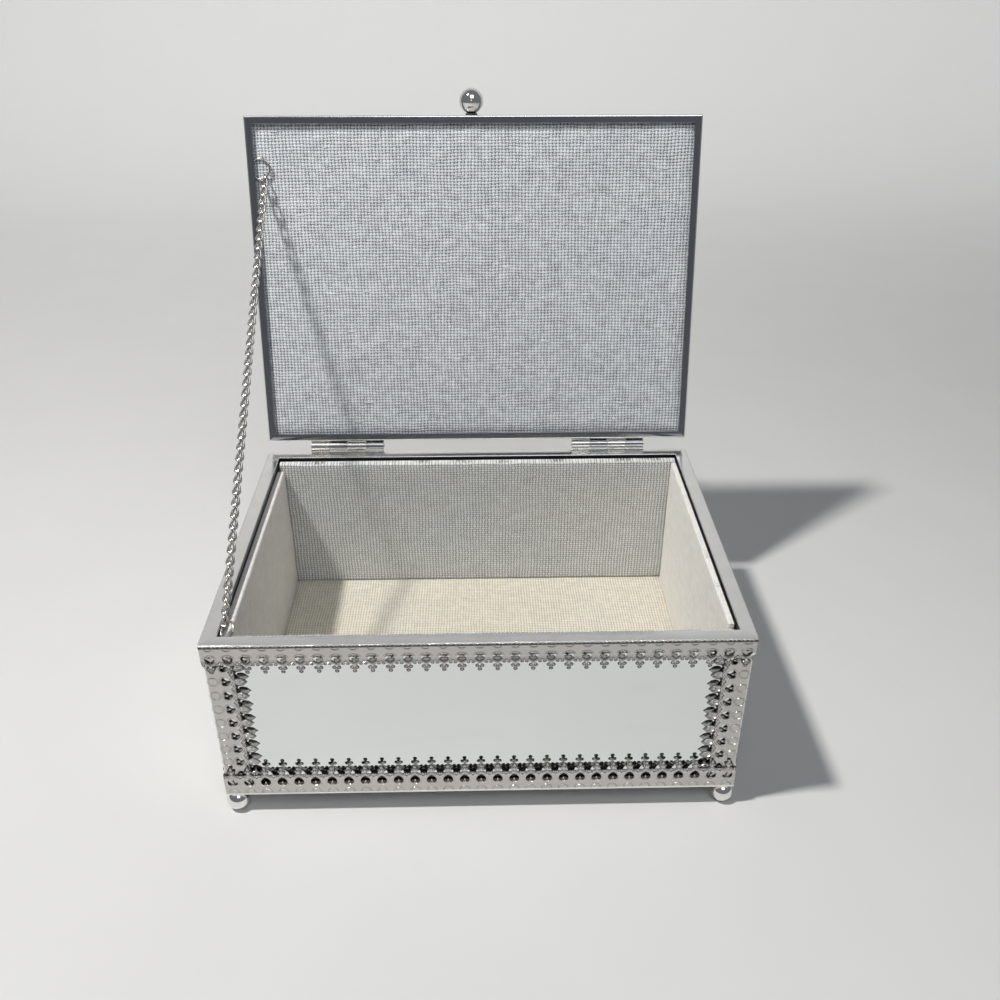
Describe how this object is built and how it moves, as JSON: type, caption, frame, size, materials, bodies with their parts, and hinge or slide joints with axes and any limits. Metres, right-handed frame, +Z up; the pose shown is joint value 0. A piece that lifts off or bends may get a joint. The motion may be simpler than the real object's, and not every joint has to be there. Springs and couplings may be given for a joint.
{
  "type": "mirror-glass casket box",
  "caption": "Rectangular silvered-glass casket box with pierced metal edging, ball feet, a linen lining and a hinged lid held open by a chain.",
  "frame": {"origin": "centre of the body in X and Y, on the plane that the four ball feet stand on", "axes": "+X to the right along the width, +Y to the back where the hinges are, +Z up; stored with the lid at its open stop"},
  "size_m": [0.2018, 0.189, 0.2415],
  "materials": {
    "pierced_strip": "bright nickel-plated stamped strip with fine scratches",
    "lid_frame": "bright nickel-plated channel",
    "mirror_glass": "silvered glass",
    "wall_linen": "cream coarse linen on padded board",
    "lid_linen": "pale coarse linen with slubs",
    "board": "raw pressed board",
    "base_cloth": "dark flocked paper",
    "polished_ball": "polished nickel plate",
    "hinge_metal": "nickel plate, slightly dulled",
    "chain_wire": "nickel-plated wire",
    "collar": "dark tarnished metal",
    "fastener": "plain steel"
  },
  "bodies": {
    "body": {"base_board": "board", "base_cloth": "base_cloth", "mirror_front": "mirror_glass", "mirror_right": "mirror_glass", "mirror_back": "mirror_glass", "mirror_left": "mirror_glass", "rail_top_front": "pierced_strip", "rail_top_right": "pierced_strip", "rail_top_back": "pierced_strip", "rail_top_left": "pierced_strip", "rail_foot_front": "pierced_strip", "rail_foot_right": "pierced_strip", "rail_foot_back": "pierced_strip", "rail_foot_left": "pierced_strip", "post_front_left": "pierced_strip", "post_front_right": "pierced_strip", "post_back_right": "pierced_strip", "post_back_left": "pierced_strip", "liner_floor": "wall_linen", "liner_front": "wall_linen", "liner_right": "wall_linen", "liner_back": "wall_linen", "liner_left": "wall_linen", "foot_front_left": "polished_ball", "foot_front_right": "polished_ball", "foot_back_right": "polished_ball", "foot_back_left": "polished_ball", "foot_nuts": "fastener", "hinge_left_body_leaf": "hinge_metal", "hinge_right_body_leaf": "hinge_metal", "hinge_left_pin": "hinge_metal", "hinge_right_pin": "hinge_metal", "body_rivets": "fastener", "ring_eye": "fastener"},
    "lid": {"lid_frame_front": "lid_frame", "lid_frame_right": "lid_frame", "lid_frame_back": "lid_frame", "lid_frame_left": "lid_frame", "lid_mirror": "mirror_glass", "lid_lining": "lid_linen", "hinge_left_lid_leaf": "hinge_metal", "hinge_right_lid_leaf": "hinge_metal", "lid_rivets": "fastener", "lid_knob": "polished_ball", "knob_collar": "collar", "knob_nut": "fastener", "lid_ring": "chain_wire"},
    "chain_ring": {"body_ring": "chain_wire"},
    "chain_1": {"chain_run_1": "chain_wire"},
    "chain_2": {"chain_run_2": "chain_wire"},
    "chain_3": {"chain_run_3": "chain_wire"},
    "chain_4": {"chain_run_4": "chain_wire"},
    "chain_5": {"chain_run_5": "chain_wire"},
    "chain_6": {"chain_run_6": "chain_wire"},
    "chain_7": {"chain_run_7": "chain_wire"},
    "chain_8": {"chain_run_8": "chain_wire"},
    "chain_9": {"chain_run_9": "chain_wire"},
    "chain_10": {"chain_run_10": "chain_wire"},
    "chain_11": {"chain_run_11": "chain_wire"}
  },
  "joints": [
    {"name": "lid_hinge", "type": "hinge", "parent": "body", "child": "lid", "pos_m": [0, 0.07547, 0.0857], "axis": [1, 0, 0], "range_deg": [0, 102.4]},
    {"name": "body_ring_tilt", "type": "hinge", "parent": "body", "child": "chain_ring", "pos_m": [-0.09126, -0.06641, 0.08178], "axis": [1, 0, 0], "range_deg": [-15.2, 0]},
    {"name": "chain_fold_1", "type": "hinge", "parent": "lid", "child": "chain_1", "pos_m": [-0.0926, 0.1007, 0.2058], "axis": [0.9559, 0.0633, -0.2868], "range_deg": [-96.9, 0]},
    {"name": "chain_fold_2", "type": "hinge", "parent": "chain_1", "child": "chain_2", "pos_m": [-0.0926, 0.08575, 0.19461], "axis": [0.9316, -0.2795, -0.2324], "range_deg": [0, 45.6]},
    {"name": "chain_fold_3", "type": "hinge", "parent": "chain_2", "child": "chain_3", "pos_m": [-0.0926, 0.07062, 0.18326], "axis": [0.956, -0.2868, -0.0613], "range_deg": [0, 90.5]},
    {"name": "chain_fold_4", "type": "hinge", "parent": "chain_3", "child": "chain_4", "pos_m": [-0.0926, 0.05548, 0.17192], "axis": [0.9377, -0.2813, -0.2041], "range_deg": [0, 90.3]},
    {"name": "chain_fold_5", "type": "hinge", "parent": "chain_4", "child": "chain_5", "pos_m": [-0.0926, 0.04035, 0.16058], "axis": [0.9593, -0.1078, 0.261], "range_deg": [-76.3, 0]},
    {"name": "chain_fold_6", "type": "hinge", "parent": "chain_5", "child": "chain_6", "pos_m": [-0.0926, 0.02521, 0.14923], "axis": [0.929, 0.2668, -0.2564], "range_deg": [-92.2, 0]},
    {"name": "chain_fold_7", "type": "hinge", "parent": "chain_6", "child": "chain_7", "pos_m": [-0.0926, 0.01007, 0.13789], "axis": [0.923, 0.2674, 0.2769], "range_deg": [-76.3, 0]},
    {"name": "chain_fold_8", "type": "hinge", "parent": "chain_7", "child": "chain_8", "pos_m": [-0.0926, -0.00506, 0.12654], "axis": [0.9206, -0.2762, 0.2762], "range_deg": [-65.8, 0]},
    {"name": "chain_fold_9", "type": "hinge", "parent": "chain_8", "child": "chain_9", "pos_m": [-0.0926, -0.0202, 0.1152], "axis": [0.9206, -0.2762, -0.2762], "range_deg": [-80.5, 0]},
    {"name": "chain_fold_10", "type": "hinge", "parent": "chain_9", "child": "chain_10", "pos_m": [-0.0926, -0.03534, 0.10386], "axis": [0.9451, 0.1627, -0.2835], "range_deg": [-60.4, 0]},
    {"name": "chain_fold_11", "type": "hinge", "parent": "chain_10", "child": "chain_11", "pos_m": [-0.0926, -0.05047, 0.09252], "axis": [0.9206, -0.2762, 0.2762], "range_deg": [0, 93.4]}
  ],
  "couplings": [
    {"joint": "body_ring_tilt", "follows": "lid_hinge", "ratio": -0.14648},
    {"joint": "chain_fold_1", "follows": "lid_hinge", "ratio": -0.9442},
    {"joint": "chain_fold_2", "follows": "lid_hinge", "ratio": 0.4436},
    {"joint": "chain_fold_3", "follows": "lid_hinge", "ratio": 0.8823},
    {"joint": "chain_fold_4", "follows": "lid_hinge", "ratio": 0.8802},
    {"joint": "chain_fold_5", "follows": "lid_hinge", "ratio": -0.743},
    {"joint": "chain_fold_6", "follows": "lid_hinge", "ratio": -0.8987},
    {"joint": "chain_fold_7", "follows": "lid_hinge", "ratio": -0.7432},
    {"joint": "chain_fold_8", "follows": "lid_hinge", "ratio": -0.6404},
    {"joint": "chain_fold_9", "follows": "lid_hinge", "ratio": -0.7838},
    {"joint": "chain_fold_10", "follows": "lid_hinge", "ratio": -0.588},
    {"joint": "chain_fold_11", "follows": "lid_hinge", "ratio": 0.9105}
  ]
}
